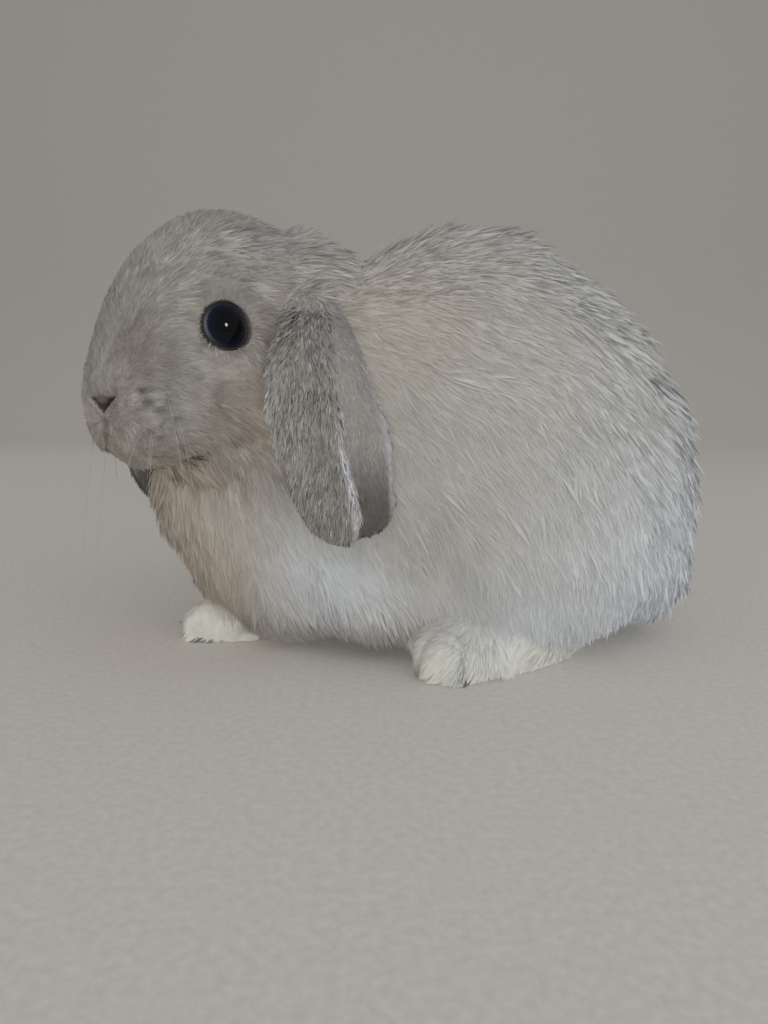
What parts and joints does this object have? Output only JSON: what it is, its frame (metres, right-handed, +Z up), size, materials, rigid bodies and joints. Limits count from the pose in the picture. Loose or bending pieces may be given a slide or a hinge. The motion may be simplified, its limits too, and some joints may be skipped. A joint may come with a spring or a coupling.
{
  "type": "young lop-eared rabbit",
  "caption": "Life-size young lop rabbit crouched on all fours with its head turned to its left and both ears hanging, as a still display model.",
  "frame": {"origin": "middle of the footprint box, on the floor under the soles", "axes": "the rabbit faces -X with its left side towards -Y, and +Z is up"},
  "size_m": [0.1998, 0.1166, 0.135],
  "materials": {
    "coat": "soft lilac-grey rabbit fur",
    "foot_coat": "short dense cream-white fur",
    "ear_coat": "short ticked dark grey fur",
    "eye": "wet, very dark blue"
  },
  "bodies": {
    "root": {"head": "coat", "neck": "coat", "trunk": "coat", "tail": "coat", "foreleg_left": "coat", "foreleg_right": "coat", "hind_leg_left": "coat", "hind_leg_right": "coat", "forepaw_left": "foot_coat", "forepaw_right": "foot_coat", "hind_foot_left": "foot_coat", "hind_foot_right": "foot_coat", "ear_left": "ear_coat", "ear_right": "ear_coat", "eye_left": "eye", "eye_right": "eye"}
  },
  "joints": []
}
